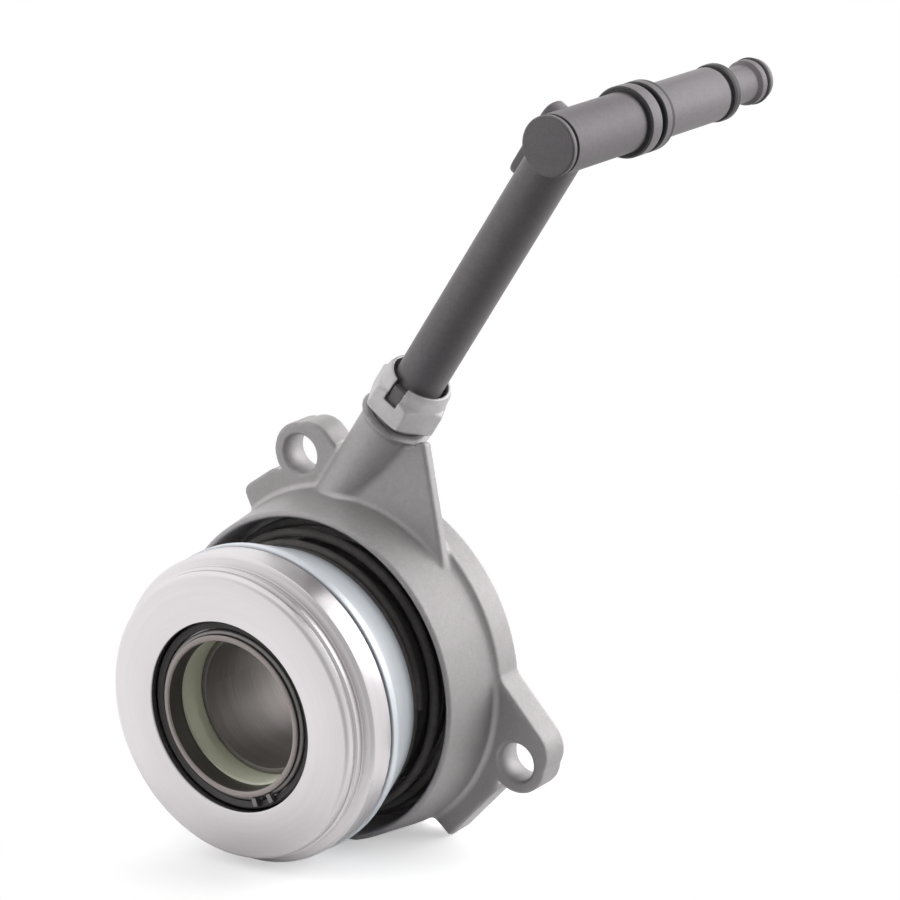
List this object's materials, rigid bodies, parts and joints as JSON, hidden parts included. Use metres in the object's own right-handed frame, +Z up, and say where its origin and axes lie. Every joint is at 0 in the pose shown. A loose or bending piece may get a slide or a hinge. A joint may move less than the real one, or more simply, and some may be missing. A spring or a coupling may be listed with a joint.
{
  "type": "concentric slave cylinder",
  "caption": "Hydraulic clutch release cylinder with a cast cup and eared flange, a bellows-sealed release bearing round a shaft bore, and an elbowed feed pipe.",
  "frame": {"origin": "on the shaft axis, in the plane of the mounting face", "axes": "+Y back along the shaft towards the gearbox, +Z up, the release bearing faces -Y"},
  "size_m": [0.098, 0.1173, 0.1637],
  "materials": {
    "cast_alloy": "fine blasted casting",
    "polished_steel": "satin polished",
    "plated_steel": "bright zinc plate",
    "race_steel": "dark ground",
    "tube_steel": "drawn, dull",
    "spring_steel": "black phosphate",
    "bright_wire": "bright",
    "retainer_steel": "bright pressed",
    "black_rubber": "matt",
    "black_plastic": "moulded",
    "grey_plastic": "satin moulded",
    "green_plastic": "moulded",
    "pale_plastic": "moulded",
    "cage_plastic": "moulded"
  },
  "bodies": {
    "base": {"housing": "cast_alloy", "guide_tube": "tube_steel", "tube_oring": "black_rubber", "dust_boot": "black_rubber", "preload_spring": "spring_steel", "feed_pipe": "grey_plastic", "elbow_cap": "grey_plastic", "pipe_retainer": "retainer_steel", "pipe_oring": "black_rubber", "spigot_oring": "black_rubber"},
    "slider": {"piston": "black_plastic", "guide_bush": "green_plastic", "piston_seal": "black_rubber", "seal_backing_ring": "pale_plastic", "spring_seat": "spring_steel", "bearing_shell": "plated_steel", "centring_washer": "spring_steel", "inner_race": "race_steel", "front_seal": "black_rubber", "rear_seal": "black_rubber", "snap_ring": "bright_wire"},
    "ring": {"release_ring": "polished_steel"},
    "ball_set": {"bearing_balls": "polished_steel", "ball_cage": "cage_plastic"}
  },
  "joints": [
    {"name": "release_slide", "type": "slide", "parent": "base", "child": "slider", "axis": [0, 1, 0], "range_m": [0, 0.008], "stiffness_N_per_m": 400, "springref_m": -0.015, "deforming": ["preload_spring", "dust_boot"]},
    {"name": "bearing_spin", "type": "hinge", "parent": "slider", "child": "ring", "pos_m": [0, -0.04, 0], "axis": [0, 1, 0], "continuous": true},
    {"name": "ball_set_spin", "type": "hinge", "parent": "slider", "child": "ball_set", "pos_m": [0, -0.04, 0], "axis": [0, 1, 0], "continuous": true}
  ],
  "couplings": [
    {"joint": "ball_set_spin", "follows": "bearing_spin", "ratio": 0.55}
  ]
}
